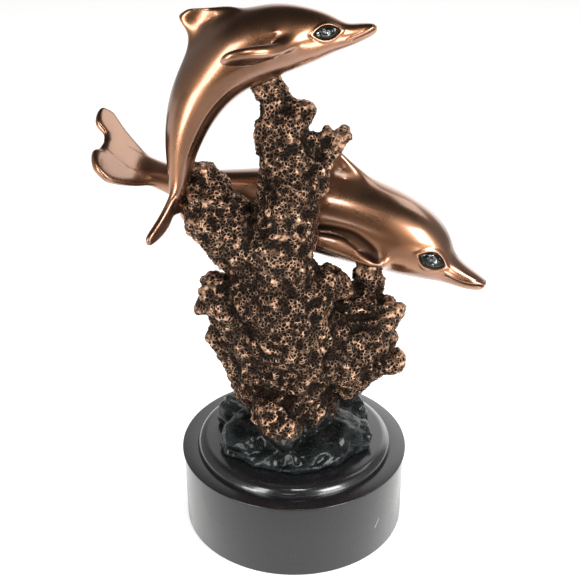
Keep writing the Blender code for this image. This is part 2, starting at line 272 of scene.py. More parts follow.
def layFloor():
    bm = bmesh.new()
    bmesh.ops.create_grid(bm, x_segments=1, y_segments=1, size=studio["floorSize"] / 2)
    floor = meshObject(bm, "floor")
    material, recipe, shader = newMaterial("pale floor")
    # painted shade on the floor in front, seen only in reflections
    shadeInFront = 1 - recipe.axis(recipe.objectPlace(), "Y").step(*studio["floorShadeFades"])
    colour = recipe.mix(recipe.ray("Glossy") * shadeInFront, studio["floorColour"], studio["floorMirroredShade"])
    setSockets(recipe, shader, {"Base Color": colour, "Roughness": studio["floorRoughness"],
                                "Emission Color": colour, "Emission Strength": studio["floorGlow"]})
    floor.data.materials.append(material)


def hangDarkCard():
    width, height, behind = studio["darkCard"]
    bm = bmesh.new()
    bmesh.ops.create_grid(bm, x_segments=1, y_segments=1, size=0.5)
    bmesh.ops.scale(bm, vec=(width, height, 1), verts=bm.verts)
    bmesh.ops.rotate(bm, verts=bm.verts, matrix=Matrix.Rotation(math.pi / 2, 3, "X"))
    bmesh.ops.translate(bm, vec=(0, behind, height / 2), verts=bm.verts)
    card = meshObject(bm, "dark_card")
    material, recipe, shader = newMaterial("dark cloth")
    setSockets(recipe, shader, {"Base Color": studio["cardColour"], "Roughness": 1.0})
    card.data.materials.append(material)
    card.visible_camera = False
    card.visible_diffuse = False
    card.visible_shadow = False


def lightWorld():
    world = bpy.data.worlds.new("studio")
    world.use_nodes = True
    bpy.context.scene.world = world
    recipe = Recipe(world.node_tree)
    direction = recipe.node("ShaderNodeTexCoord", {}, {}, "Generated")
    across, depth, height = (recipe.axis(direction, name) for name in "XYZ")
    share = depth.step(*studio["wallBehind"]) * across.step(*studio["wallRight"])
    wall = studio["frontWall"] + (studio["backWall"] - studio["frontWall"]) * share
    wall = studio["ceiling"] + wall * (1 - height.step(*studio["wallTop"]))
    seen = recipe.ray("Camera")
    glossy = recipe.ray("Glossy")
    bright = seen * studio["backdrop"] + (1 - seen) * (glossy * wall + (1 - glossy) * studio["fill"])
    setSockets(recipe, world.node_tree.nodes["Background"], {"Color": (1, 1, 1), "Strength": bright})


def placeSoftboxes():
    for name, place, target, width, height, watts, mirrored in studio["softboxes"]:
        light = bpy.data.lights.new(name, "AREA")
        light.shape = "RECTANGLE"
        light.size = width
        light.size_y = height
        light.energy = watts
        lamp = bpy.data.objects.new(name, light)
        lamp.location = place
        lamp.rotation_euler = (Vector(target) - Vector(place)).to_track_quat("-Z", "Y").to_euler()
        lamp.visible_camera = False
        lamp.visible_glossy = mirrored
        bpy.context.scene.collection.objects.link(lamp)


placeCamera()
layFloor()
hangDarkCard()
lightWorld()
placeSoftboxes()
bpy.context.scene.view_settings.view_transform = "Standard"
print("studio ready")


# Plinth

plinth = {
    "drumRadius": 62.4, "drumHeight": 45.6, "lipRadius": 63.5, "lipDepth": 1.2,
    "stepRadius": 54.9, "stepHeight": 6.0, "sides": 128, "sharpAngle": 40,
    "stepRound": (5.8, 10), "lipRound": (0.4, 3), "footRound": (0.8, 3),  # radius, and faces across it
}


def roundLoop(bm, radius, height, size, segments):  # rounds the circle of edges at this radius and height
    slack = 0.01

    def onCircle(v):
        return abs(v.co.z - height) < slack and abs(math.hypot(v.co.x, v.co.y) - radius) < slack

    circle = [e for e in bm.edges if all(onCircle(v) for v in e.verts)]
    bmesh.ops.bevel(bm, geom=circle, offset=size, offset_type="OFFSET", segments=segments, profile=0.5,
                    affect="EDGES", material=-1, clamp_overlap=True)


def makePlinth():
    ledge = plinth["drumHeight"]
    top = ledge + plinth["stepHeight"]
    outline = [(0, top), (plinth["stepRadius"], top), (plinth["stepRadius"], ledge),
               (plinth["lipRadius"], ledge), (plinth["lipRadius"], ledge - plinth["lipDepth"]),
               (plinth["drumRadius"], ledge - 2 * plinth["lipDepth"]), (plinth["drumRadius"], 0), (0, 0)]
    bm = bmesh.new()
    points = [bm.verts.new((x, 0, z)) for x, z in outline]
    lines = [bm.edges.new(pair) for pair in zip(points, points[1:])]
    bmesh.ops.spin(bm, geom=points + lines, axis=(0, 0, 1), cent=(0, 0, 0), angle=2 * math.pi,
                   steps=plinth["sides"], use_merge=True)
    bmesh.ops.remove_doubles(bm, verts=bm.verts, dist=0.001)
    bmesh.ops.recalc_face_normals(bm, faces=bm.faces)
    roundLoop(bm, plinth["stepRadius"], top, *plinth["stepRound"])
    roundLoop(bm, plinth["lipRadius"], ledge, *plinth["lipRound"])
    roundLoop(bm, plinth["drumRadius"], 0, *plinth["footRound"])
    bmesh.ops.scale(bm, vec=(mm, mm, mm), verts=bm.verts)
    block = meshObject(bm, "plinth_block")
    shadeSmooth(block, plinth["sharpAngle"])
    return block


lacquer = {
    "colour": (0.008, 0.008, 0.009), "roughness": 0.20, "coat": 0.4, "coatRoughness": 0.12,
    "cloudScale": 45.0, "cloudRoughness": 0.10, "peelScale": 520.0, "peelDepth": 0.0002,
    "dustScale": 900.0, "dustSpread": (0.64, 0.74), "dustColour": (0.05, 0.05, 0.05), "dustRoughness": 0.12,
    "edgeRise": (0.4, 3.4), "edgeFall": 0.4,  # the step's round edge, mm above the ledge and below the top
    # a scratch on the drum's front: x and z of its middle, slope, half length and half width, in metres
    "scratch": (0.0455, 0.0200, 0.458, 0.0026, 0.00016), "scratchFront": (-0.03, -0.02),
    "scratchColour": (0.75, 0.75, 0.74),
}


def lacquerMaterial():
    material, recipe, shader = newMaterial("black lacquer")
    place = recipe.objectPlace()
    across, depth, height = (recipe.axis(place, name) for name in "XYZ")
    cloud = recipe.noise(place, lacquer["cloudScale"], 4.0).step(0.3, 0.7)
    dust = recipe.noise(place, lacquer["dustScale"], 2.0).step(*lacquer["dustSpread"])
    peel = recipe.noise(place, lacquer["peelScale"], 1.0)

    ledge = plinth["drumHeight"]
    top = ledge + plinth["stepHeight"]
    rising, risen = lacquer["edgeRise"]
    edge = height.step((ledge + rising) * mm, (ledge + risen) * mm)
    edge = edge * (1 - height.step((top - lacquer["edgeFall"]) * mm, top * mm))

    middleX, middleZ, slope, halfLong, halfWide = lacquer["scratch"]
    level = height - middleZ
    aside = across - middleX - slope * level
    scratch = aside.within(0.3 * halfWide, halfWide) * level.within(0.9 * halfLong, halfLong)
    scratch = scratch * (1 - depth.step(*lacquer["scratchFront"]))

    colour = recipe.mix(dust * 0.25, lacquer["colour"], lacquer["dustColour"])
    colour = recipe.mix(scratch * 0.7, colour, lacquer["scratchColour"])
    rough = lacquer["roughness"] + lacquer["cloudRoughness"] * cloud + lacquer["dustRoughness"] * dust
    setSockets(recipe, shader, {
        "Base Color": colour,
        "Roughness": rough,
        "Coat Weight": lacquer["coat"] + (1 - lacquer["coat"]) * edge,
        "Coat Roughness": lacquer["coatRoughness"],
        "Normal": recipe.bump(0.06, lacquer["peelDepth"], peel),
    })
    return material


joinTrophy(makePlinth(), "plinth", lacquerMaterial())
print("plinth ready")


# Dolphins

upperDolphin = {
    "name": "upper_dolphin_cast", "node": "upper_dolphin",
    "spine": [(39, 0, 282.5), (26, 0, 280.5), (12, 0, 280), (0, 0, 278.5), (-13, 0, 275), (-25, 0, 269.5),
              (-36, 0, 261.5), (-44.5, 0, 251), (-50.5, 0, 239), (-54.5, 0, 226.5), (-57.5, 0, 214),
              (-59, 0, 201), (-60.5, 0, 190), (-61.5, 0, 178)],
    # distance from the snout, then the reach above, below and to each side
    "rings": [(0, 1.4, 1.8, 2.0), (2, 2.6, 3.4, 3.6), (8, 3.5, 5.4, 4.8), (14, 3.9, 7.4, 6.0),
              (20, 7.6, 9.4, 8.0), (27, 11.2, 12.4, 11.0), (37, 15.2, 15.0, 13.8), (47, 17.8, 16.4, 15.2),
              (57, 18.9, 16.8, 16.2), (70, 19.2, 15.8, 16.4), (84, 17.8, 14.6, 15.2), (97, 15.4, 12.6, 13.0),
              (111, 12.8, 10.2, 10.4), (125, 9.8, 7.6, 7.8), (138, 6.2, 5.6, 5.2), (147, 4.2, 4.0, 4.4),
              (154, 2.9, 2.7, 4.4), (161, 2.2, 2.0, 4.0)],
    "roll": [(0, 8), (60, 10), (110, 16), (150, 32), (165, 33)],
    "flatten": [(0, 1.0), (135, 1.0), (150, 0.3), (161, 0.3)],  # how boxy the section is, towards the flukes
    # the rings that each fin grows between, and its steps: place back from its root, rise, length, thickness
    "finRings": (8, 10), "fin": [(-0.5, 22, 26.5, 5.4), (5, 27, 15.5, 4.2), (8.7, 32, 7, 3.2)],
    # a flipper's and a fluke's steps: back, outwards, rise, length, turn in degrees, thickness
    "flipperRings": (6, 8), "flipperFace": 0, "flipperDroop": -30,  # faces below the flank, droop in degrees
    "flipper": [(3, 17.5, -3.5, 14, 10, 7.2), (10, 21.5, -3, 17, 40, 6.8), (18.5, 24.5, -1.2, 15, 55, 5.6),
                (26.5, 26, 0, 8, 60, 4.0)],
    "flukeRings": (15, 17),
    "fluke": [(4, 6.4, 0, 14.5, 6, 4.2), (9, 10.5, 0, 12, 10, 4.0), (13, 16.5, 0, 9, 14, 3.6),
              (16, 23, 0, 5, 18, 2.8)],
    "eye": (24, 4, 14.2, 7.2, 6),  # distance, angle above the flank, length, height, nose-up turn
    "mouth": [(13.5, -42), (10.5, -36), (7.5, -31), (4.5, -23), (1.5, -12)],  # distance and angle
    "mouthCut": (0.4, 0.6, 0.8, 2.5, 0.1),  # width, depth, darkness of the painted shade along it, then how far each end fades
    # a cut or, with a depth below zero, a raised fold, with the darkness of the painted shade along it, and
    # its points by distance and angle
    "creases": [((1.3, -0.45, 0.0, 20, 20),
                 [(68, -40), (82, -40), (98, -40), (114, -40), (128, -40), (142, -38)])],
    "tailCalm": (28, 2, 1.6, -6),  # reach and rounds of smoothing, flattening and its start
    "finDish": (3.0, 25.5, 8.5, 6.0, 0.8),  # back, rise, half length, half height, depth
}

lowerDolphin = {
    "name": "lower_dolphin_cast", "node": "lower_dolphin",
    "spine": [(103, 6, 142), (92, 9, 147), (80, 13, 153), (68, 17, 159.5), (54, 21, 165.5), (38, 25, 171),
              (20, 27, 176), (0, 28.5, 179.5), (-20, 29, 182.5), (-38, 28, 186), (-55, 26, 191),
              (-70, 23, 198), (-84, 17.9, 207.1), (-103.5, 12, 225.8)],
    "rings": [(0, 1.4, 2.4, 2.4), (2, 2.6, 4.6, 4.4), (8, 3.8, 7.2, 6.2), (16, 4.9, 8.8, 7.6),
              (22.5, 6.8, 10.6, 9.6), (27, 11.2, 12.8, 12.0), (33, 15.8, 15.4, 14.4), (42, 20.2, 18.6, 17.8),
              (52, 22.4, 21.0, 20.2), (63, 24.0, 22.8, 21.6), (76, 24.4, 25.0, 22.4), (91, 23.8, 25.4, 22.2),
              (107, 22.6, 23.6, 20.6), (126, 19.4, 19.8, 17.4), (148, 14.8, 15.2, 13.0),
              (170, 9.0, 9.8, 8.4), (190, 4.7, 5.1, 7.0), (207, 2.8, 3.0, 6.4), (224, 2.4, 2.5, 5.6)],
    "roll": [(0, 0), (60, -2), (120, -10), (180, -24), (223, -28)],
    "flatten": [(0, 1.0), (160, 1.0), (190, 0.3), (207, 0.08), (225, 0.08)],
    "finRings": (10, 12), "fin": [(3, 28, 24, 5.6), (11, 35, 15, 4.2), (18, 42, 6, 3.0)],
    "flipperRings": (8, 10), "flipperFace": 1, "flipperDroop": 60,
    "flipper": [(0.5, 21.8, -9.8, 23, 10, 6.4), (8, 23.5, -7.5, 18, 40, 5.6), (19, 25, -7.4, 14, 62, 4.8),
                (33, 27, -9, 9.5, 70, 3.8)],
    "flukeRings": (16, 18),
    "fluke": [(6.5, 8.6, 0, 34, 4, 5.3), (14.5, 12.4, 0.5, 21, 10, 5.3), (18.5, 16.8, 1, 13.5, 10, 5.0),
              (20, 20.2, 1.2, 7, 10, 4.2)],
    # the lobe on the camera's side
    "rightFluke": [(4.5, 8.4, 0, 34, 8, 5.3), (8.5, 12.6, 0, 26, 12, 5.4), (11, 16.4, 0, 17, 15, 5.0),
                   (12.5, 18.8, 0, 8, 20, 4.2)],
    "eye": (32, 6, 16.8, 10.0, 4),
    "mouth": [(23, -18), (18.5, -23), (15, -25), (11, -24), (7.5, -17), (4, -8), (1.5, -2)],
    "mouthCut": (0.55, 1.0, 1.0, 2.5, 0.1),
    # painted shade in the hollow above the flipper, along this crease
    "creases": [((2.5, 1.7, 1.0, 6, 8), [(57, -29), (62, -16), (71, -5), (82, 1.5), (95, 0), (106, -8)])],
    "tailCalm": (36, 12, 1.9, -14),
    "finDish": (6.0, 31.0, 7.0, 5.0, 0.3),
}

casting = {
    "ringSides": 12, "ringShrink": 0.966, "smoothness": 4,  # rounding the cage shrinks it by this much
    "tangentReach": 3.0,  # half the length over which the spine's direction is taken
    "outside": 60.0,  # how far outside the spine the search for a point of the skin starts
    "lipSwell": 0.3, "lipAbove": 1.3, "lipWidth": 0.8,  # the raised lip over the mouth
    "cutPaintedShade": (2.0, 0.7),  # where the painted shade along a cut comes in and is full, as shares of the cut's width
    "dishEdge": (1.15, 0.1), "dishReach": 1.6, "dishFacing": (0.45, 0.85),  # of the dorsal fin's hollow
    "tailFlat": 1.4, "tailFade": 14,  # how much of the tail's thickness is kept, and how softly that starts
    "fineEye": 0.5, "fineLips": 1.5,  # finer faces: share of the eye's length, mm beside the mouth
    "crestRounds": 60,  # how often the surroundings of a point are averaged for its crest
    "backSpacing": 3.0,  # between the places of the spine that tell where the back is
}

eyeShape = {
    "bulge": 1.2, "sink": 0.55, "groove": 0.8, "rim": 0.35,  # heights and depths in mm
    "domeReach": 0.78,  # the ball's radius, as a share of the outline
    "point": 0.4, "leastHeight": 0.3,  # how far the outline narrows to its corners, and what is left there
    "facing": 0.2, "reach": 1.6,  # the skin that faces farther away, or lies farther out, stays
    # where each part comes in and goes out from the middle, as shares of the way to the outline
    "ballBand": [(0.80, 0.74)], "grooveBand": [(0.74, 0.82), (0.98, 0.88)],
    "rimBand": [(0.88, 1.04), (1.5, 1.08)], "eyeShade": [(0.84, 0.78)],
    # painted shade in the groove round the eye
    "groovePaintedShade": [(0.70, 0.80), (1.04, 0.92)],
}


def smoothLine(points, steps=16):  # a Catmull-Rom curve
    points = [Vector(p) for p in points]
    ends = [2 * points[0] - points[1]] + points + [2 * points[-1] - points[-2]]
    line = []
    for a, b, c, d in zip(ends, ends[1:], ends[2:], ends[3:]):
        for i in range(steps):
            t = i / steps
            line.append(0.5 * (2 * b + (c - a) * t + (2 * a - 5 * b + 4 * c - d) * t * t
                               + (3 * b - 3 * c + d - a) * t ** 3))
    return line + [points[-1]]


def pointAlong(line, distance):
    for a, b in zip(line, line[1:]):
        step = (b - a).length
        if distance <= step or b is line[-1]:
            return a + (b - a) * (distance / step)
        distance -= step


def tableValue(table, at):
    for (a, low), (b, high) in zip(table, table[1:]):
        if at <= b:
            return low + (high - low) * max(0.0, at - a) / (b - a)
    return table[-1][1]


def frameAt(line, distance, roll):  # place, forward to the snout, left and up of the body
    reach = casting["tangentReach"]
    place = pointAlong(line, distance)
    forward = (pointAlong(line, max(0.0, distance - reach)) - pointAlong(line, distance + reach)).normalized()
    left = Vector((0, 1, 0))
    left = (left - left.dot(forward) * forward).normalized()
    turn = Matrix.Rotation(-math.radians(roll), 3, forward)
    return place, forward, turn @ left, turn @ forward.cross(left)


def bodyRing(bm, spec, line, ring):
    distance, above, below, wide = ring
    place, forward, left, up = frameAt(line, distance, tableValue(spec["roll"], distance))
    sides = casting["ringSides"]
    verts = bmesh.ops.create_circle(bm, segments=sides, radius=1 / casting["ringShrink"])["verts"]
    faceOnTop = Matrix.Rotation(math.pi / sides - math.pi / 2, 3, "Z")
    bmesh.ops.rotate(bm, verts=verts, cent=(0, 0, 0), matrix=faceOnTop)
    flatten = tableValue(spec["flatten"], distance)
    for v in verts:
        v.co.y = math.copysign(abs(v.co.y) ** flatten, v.co.y)
    upper = [v for v in verts if v.co.y > 0]
    lower = [v for v in verts if v.co.y < 0]
    bmesh.ops.scale(bm, vec=(wide, above, 1), verts=upper)
    bmesh.ops.scale(bm, vec=(wide, below, 1), verts=lower)
    axes = Matrix((left, up, forward)).transposed().to_4x4()
    bmesh.ops.transform(bm, matrix=Matrix.Translation(place) @ axes, verts=verts)
    return verts


def ringEdges(ring):
    wanted = set(ring)
    return [e for v in ring for e in v.link_edges if e.other_vert(v) in wanted and e.verts[0] == v]


def sideFaces(bm, rings, span, side):
    after = (side + 1) % casting["ringSides"]
    wanted = [{rings[row][side], rings[row][after], rings[row + 1][side], rings[row + 1][after]}
              for row in range(*span)]
    return [f for f in bm.faces if set(f.verts) in wanted]


def growFin(bm, faces, axes, steps):  # extrudes a strip of faces through the steps of one fin
    chord, across = axes
    verts = {v for f in faces for v in f.verts}
    centre = sum((v.co for v in verts), Vector()) / len(verts)
    halfChord = max(abs((v.co - centre).dot(chord)) for v in verts)
    for nextCentre, nextChord, nextHalf, nextAcross, halfThick in steps:
        made = bmesh.ops.extrude_face_region(bm, geom=faces)["geom"]
        bmesh.ops.delete(bm, geom=faces, context="FACES_ONLY")
        faces = [g for g in made if isinstance(g, bmesh.types.BMFace)]
        for v in {v for f in faces for v in f.verts}:
            along = (v.co - centre).dot(chord) / halfChord
            side = math.copysign(1, (v.co - centre).dot(across))
            v.co = nextCentre + nextChord * nextHalf * along + nextAcross * halfThick * side
        centre, chord, halfChord, across = nextCentre, nextChord, nextHalf, nextAcross


def rootFrame(spec, line, name):
    first, last = spec[name + "Rings"]
    middle = (spec["rings"][first][0] + spec["rings"][last][0]) / 2
    return frameAt(line, middle, tableValue(spec["roll"], middle))


def sideSteps(root, outward, droop, sizes):
    # the steps of a flipper or fluke, which leaves the body outwards and sinks by its droop
    place, forward, _, up = root
    sinking = outward * math.cos(droop) - up * math.sin(droop)
    across = up * math.cos(droop) + outward * math.sin(droop)
    steps = []
    for back, out, rise, chord, turn, thick in sizes:
        turn = math.radians(turn)
        chordAxis = forward * math.cos(turn) + sinking * math.sin(turn)
        centre = place - forward * back + outward * out + up * rise
        steps.append((centre, chordAxis, chord / 2, across, thick / 2))
    return steps


def dolphinCage(spec, line):
    sides = casting["ringSides"]
    bm = bmesh.new()
    rings = [bodyRing(bm, spec, line, ring) for ring in spec["rings"]]
    for a, b in zip(rings, rings[1:]):
        bmesh.ops.bridge_loops(bm, edges=ringEdges(a) + ringEdges(b))
    bmesh.ops.holes_fill(bm, edges=ringEdges(rings[0]) + ringEdges(rings[-1]))

    place, forward, left, up = rootFrame(spec, line, "fin")
    steps = [(place - forward * back + up * rise, forward, chord / 2, left, thick / 2)
             for back, rise, chord, thick in spec["fin"]]
    growFin(bm, sideFaces(bm, rings, spec["finRings"], sides // 4 - 1), (forward, left), steps)
    pairs = [("flipper", spec["flipper"], spec["flipperDroop"], spec["flipperFace"]),
             ("fluke", spec.get("rightFluke", spec["fluke"]), 0, 0)]
    for name, rightSizes, droop, lower in pairs:
        root = rootFrame(spec, line, name)
        _, forward, left, up = root
        for side, outward, sizes in ((sides - 1 - lower, left, spec[name]),
                                     (sides // 2 - 1 + lower, -left, rightSizes)):
            faces = sideFaces(bm, rings, spec[name + "Rings"], side)
            growFin(bm, faces, (forward, up), sideSteps(root, outward, math.radians(droop), sizes))
    bmesh.ops.recalc_face_normals(bm, faces=bm.faces)
    return bm


def skinPoint(skin, spec, line, distance, angle, outwardSign):
    # the point of the skin at this distance from the snout and angle above the flank
    place, forward, left, up = frameAt(line, distance, tableValue(spec["roll"], distance))
    towards = left * outwardSign * math.cos(math.radians(angle)) + up * math.sin(math.radians(angle))
    point, normal, _, _ = skin.ray_cast(place + towards * casting["outside"], -towards)
    return point, normal, forward, up


def carveEye(bm, skin, spec, line, outwardSign, eyeLayer, grooveShadeLayer):
    distance, angle, length, height, turn = spec["eye"]
    centre, normal, forward, up = skinPoint(skin, spec, line, distance, angle, outwardSign)
    turn = math.radians(turn)
    along = forward * math.cos(turn) + up * math.sin(turn)
    along = (along - along.dot(normal) * normal).normalized()
    over = normal.cross(along)
    near = [v for v in bm.verts if (v.co - centre).length < length]
    for v in near:
        offset = v.co - centre
        if v.normal.dot(normal) < eyeShape["facing"]:
            continue
        u = offset.dot(along) / (length / 2)
        w = offset.dot(over) / (height / 2)
        r = math.hypot(u, w / max(eyeShape["leastHeight"], 1 - eyeShape["point"] * u * u))
        if r > eyeShape["reach"]:
            continue
        dome = math.sqrt(max(0.0, 1 - (r / eyeShape["domeReach"]) ** 2))
        ball = band(r, eyeShape["ballBand"]) * (dome * eyeShape["bulge"] - eyeShape["sink"])
        groove = band(r, eyeShape["grooveBand"]) * eyeShape["groove"]
        rim = band(r, eyeShape["rimBand"]) * eyeShape["rim"]
        v.co += v.normal * (ball - groove + rim)
        v[eyeLayer] = max(v[eyeLayer], band(r, eyeShape["eyeShade"]))
        # painted shade in the groove round the eye
        v[grooveShadeLayer] = max(v[grooveShadeLayer], band(r, eyeShape["groovePaintedShade"]))


def skinPath(skin, spec, line, points, outwardSign):
    places = [skinPoint(skin, spec, line, distance, angle, outwardSign)[0] for distance, angle in points]
    return smoothLine(places, 14)


def pathTree(path):
    tree = KDTree(len(path))
    for i, point in enumerate(path):
        tree.insert(point, i)
    tree.balance()
    return tree


def carveLine(bm, path, inside, crease, grooveShadeLayer, swell=0.0, up=None):
    # sinks or raises the skin along a path and paints shade along it; its inside point tells this side's skin
    # from the other's
    width, depth, dark, fadeIn, fadeOut = crease
    tree = pathTree(path)
    reach = 3 * width + 1  # the cut is too faint to see past this
    middle = (path[0] + path[-1]) / 2
    span = max((point - middle).length for point in path) + reach
    for v in [v for v in bm.verts if (v.co - middle).length < span]:
        place, _, away = tree.find(v.co)
        if away > reach or v.normal.dot(place - inside) < -2:
            continue  # too far off, or on the body's other side
        fade = ease((v.co - path[0]).length, 0, fadeIn) * ease((v.co - path[-1]).length, -0.1, fadeOut)
        sink = math.exp(-(away / width) ** 2)
        above = (v.co - place).dot(up) if up else 0.0
        lip = math.exp(-((above - casting["lipAbove"]) / casting["lipWidth"]) ** 2) if above > 0 else 0.0
        v.co += v.normal * (lip * swell - sink * depth) * fade
        # painted shade along the cut
        v[grooveShadeLayer] = max(v[grooveShadeLayer], dark * ease(away / width, *casting["cutPaintedShade"]) * fade)


def carveLines(bm, skin, spec, line, outwardSign, grooveShadeLayer):
    _, _, _, up = frameAt(line, 5, tableValue(spec["roll"], 5))
    mouth = skinPath(skin, spec, line, spec["mouth"], outwardSign)
    carveLine(bm, mouth, pointAlong(line, 8), spec["mouthCut"], grooveShadeLayer, casting["lipSwell"], up)
    for crease, points in spec["creases"]:
        path = skinPath(skin, spec, line, points, outwardSign)
        carveLine(bm, path, pointAlong(line, points[len(points) // 2][0]), crease, grooveShadeLayer)


def carveFin(bm, spec, line):  # hollows both faces of the dorsal fin
    back, rise, halfLong, halfTall, depth = spec["finDish"]
    place, forward, left, up = rootFrame(spec, line, "fin")
    centre = place - forward * back + up * rise
    for v in bm.verts:
        offset = v.co - centre
        if offset.length > halfLong * casting["dishReach"]:
            continue
        facing = ease(abs(v.normal.dot(left)), *casting["dishFacing"])
        r = math.hypot(offset.dot(forward) / halfLong, offset.dot(up) / halfTall)
        v.co -= v.normal * depth * ease(r, *casting["dishEdge"]) * facing


def calmTail(bm, spec, line):  # the flukes and the stalk run into one another as one sheet
    reach, rounds, thick, start = spec["tailCalm"]
    place, forward, _, up = rootFrame(spec, line, "fluke")
    near = [v for v in bm.verts if (v.co - place).length < reach]
    for v in near:
        height = (v.co - place).dot(up)
        flat = casting["tailFlat"] * thick * math.tanh(height / thick)
        fade = ease((place - v.co).dot(forward), start, start + casting["tailFade"])
        v.co += up * (flat - height) * fade
    for _ in range(rounds):
        bmesh.ops.smooth_vert(bm, verts=near, factor=0.5, use_axis_x=True, use_axis_y=True, use_axis_z=True)


def refine(bm, skin, spec, line):  # finer faces where the eyes and the mouth are carved
    distance, angle, length, _, _ = spec["eye"]
    close = set()
    for sign in (1, -1):
        centre = skinPoint(skin, spec, line, distance, angle, sign)[0]
        close |= {e for e in bm.edges if (e.verts[0].co - centre).length < length * casting["fineEye"]}
        lips = skinPath(skin, spec, line, spec["mouth"], sign)[::4]  # every fourth point is close enough
        middle = (lips[0] + lips[-1]) / 2
        span = (lips[0] - lips[-1]).length
        close |= {e for e in bm.edges if (e.verts[0].co - middle).length < span
                  and min((e.verts[0].co - p).length for p in lips) < casting["fineLips"]}
    bmesh.ops.subdivide_edges(bm, edges=list(close), cuts=1, use_grid_fill=True, smooth=0)


def backness(mesh, spec, line):
    # how far each point faces the dolphin's back: 1 on the back, 0 on the flank, -1 on the belly
    places = pointPlaces(mesh)
    normals = pointNormals(mesh)
    length = sum((b - a).length for a, b in zip(line, line[1:]))
    distances = np.arange(0, length, casting["backSpacing"])
    frames = [frameAt(line, d, tableValue(spec["roll"], d)) for d in distances]
    middles = np.array([f[0][:] for f in frames])
    ups = np.array([f[3][:] for f in frames])
    nearest = np.argmin(((places[:, None, :] - middles[None, :, :]) ** 2).sum(-1), axis=1)
    return (normals * ups[nearest]).sum(1)


def makeDolphin(spec):
    line = smoothLine(spec["spine"])
    body = meshObject(dolphinCage(spec, line), spec["name"])
    smooth = body.modifiers.new("round the cage", "SUBSURF")
    smooth.levels = casting["smoothness"]
    smooth.render_levels = casting["smoothness"]
    applyModifiers(body)
    storePoints(body.data, "crest", crestHeights(body.data, casting["crestRounds"]))
    bm = bmesh.new()
    bm.from_mesh(body.data)
    skin = BVHTree.FromBMesh(bm)
    refine(bm, skin, spec, line)
    bm.normal_update()
    eyeLayer = bm.verts.layers.float.new("eye")
    grooveShadeLayer = bm.verts.layers.float.new("groove")
    for sign in (1, -1):
        carveLines(bm, skin, spec, line, sign, grooveShadeLayer)
        carveEye(bm, skin, spec, line, sign, eyeLayer, grooveShadeLayer)
    carveFin(bm, spec, line)
    calmTail(bm, spec, line)
    bm.to_mesh(body.data)
    bm.free()
    # the facing that the bronze's painted shade and painted light follow
    storePoints(body.data, "back", backness(body.data, spec, line))
    body.data.transform(Matrix.Scale(mm, 4))
    shadeSmooth(body)
    print(spec["name"], "has", len(body.data.loops) - 2 * len(body.data.polygons), "triangles")
    return body


bronze = {
    # the back colour is painted shade on skin that faces up, and is also the random mottling's tone; the
    # belly colour is painted light on skin that faces down
    "flank": (0.37, 0.165, 0.078), "back": (0.25, 0.125, 0.07), "litBelly": (0.34, 0.18, 0.115),
    # the recess colour is painted shade, in the cuts and the hollows
    "recessShade": (0.02, 0.013, 0.010), "eye": (0.003, 0.005, 0.004), "spark": (0.75, 0.8, 0.75),
    "backShadeLimits": (0.05, 0.85), "bellyLightLimits": (0.2, 0.9),  # painted shade where the skin faces up and painted light where it faces down: from the flank to the back, and to the belly
    "recessShadeDepth": (-1.3, -0.55),  # how far below its surroundings the skin takes painted shade, in mm
    "cloudScale": 38.0, "mottleScale": 420.0, "glintScale": 430.0, "glintLimits": (0.60, 0.66),
    "roughness": 0.25, "coatRoughness": 0.13, "coatIOR": 1.6, "bumpDepth": 0.0006,
}


def bronzeMaterial():
    material, recipe, shader = newMaterial("polished bronze")
    place = recipe.objectPlace()
    back, eye, groove, crest = (recipe.attribute(name) for name in ("back", "eye", "groove", "crest"))
    cloud = recipe.noise(place, bronze["cloudScale"], 3.0)
    mottle = recipe.noise(place, bronze["mottleScale"], 4.0, 0.6)
    glint = recipe.noise(place, bronze["glintScale"], 2.0)
    # painted shade in the hollows
    recessShade = 1 - crest.step(*bronze["recessShadeDepth"])
    spark = eye * glint.step(*bronze["glintLimits"])

    # painted shade where the skin faces up and painted light where it faces down, each with a little random
    # cloud
    dark = (back + 0.35 * (cloud - 0.5)).step(*bronze["backShadeLimits"])
    light = (0.25 * (cloud - 0.5) - back).step(*bronze["bellyLightLimits"])
    colour = recipe.mix(dark, bronze["flank"], bronze["back"])
    colour = recipe.mix(light, colour, bronze["litBelly"])
    colour = recipe.mix(0.22 * mottle.step(0.45, 0.75), colour, bronze["back"])
    # painted shade in the cuts
    colour = recipe.mix(0.9 * groove, colour, bronze["recessShade"])
    # painted shade in the hollows
    colour = recipe.mix(0.85 * recessShade, colour, bronze["recessShade"])
    colour = recipe.mix(eye, colour, bronze["eye"])
    colour = recipe.mix(spark, colour, bronze["spark"])
    setSockets(recipe, shader, {
        "Base Color": colour,
        "Metallic": 1 - 0.9 * eye + 0.9 * spark,
        "Roughness": (bronze["roughness"] + 0.10 * cloud.step(0.35, 0.7) + 0.25 * groove) * (1 - 0.75 * eye),
        "Coat Weight": (1 - groove) * (1 - eye) * (1 - 0.8 * recessShade),
        "Coat Roughness": bronze["coatRoughness"],
        "Coat IOR": bronze["coatIOR"],
        "Normal": recipe.bump(0.8, bronze["bumpDepth"], glint * eye + 0.004 * mottle),
    })
    return material


polished = bronzeMaterial()
casts = []
for spec in (upperDolphin, lowerDolphin):
    casts.append(makeDolphin(spec))
    joinTrophy(casts[-1], spec["node"], polished)
    print(spec["name"], "ready")


# Coral and its mound

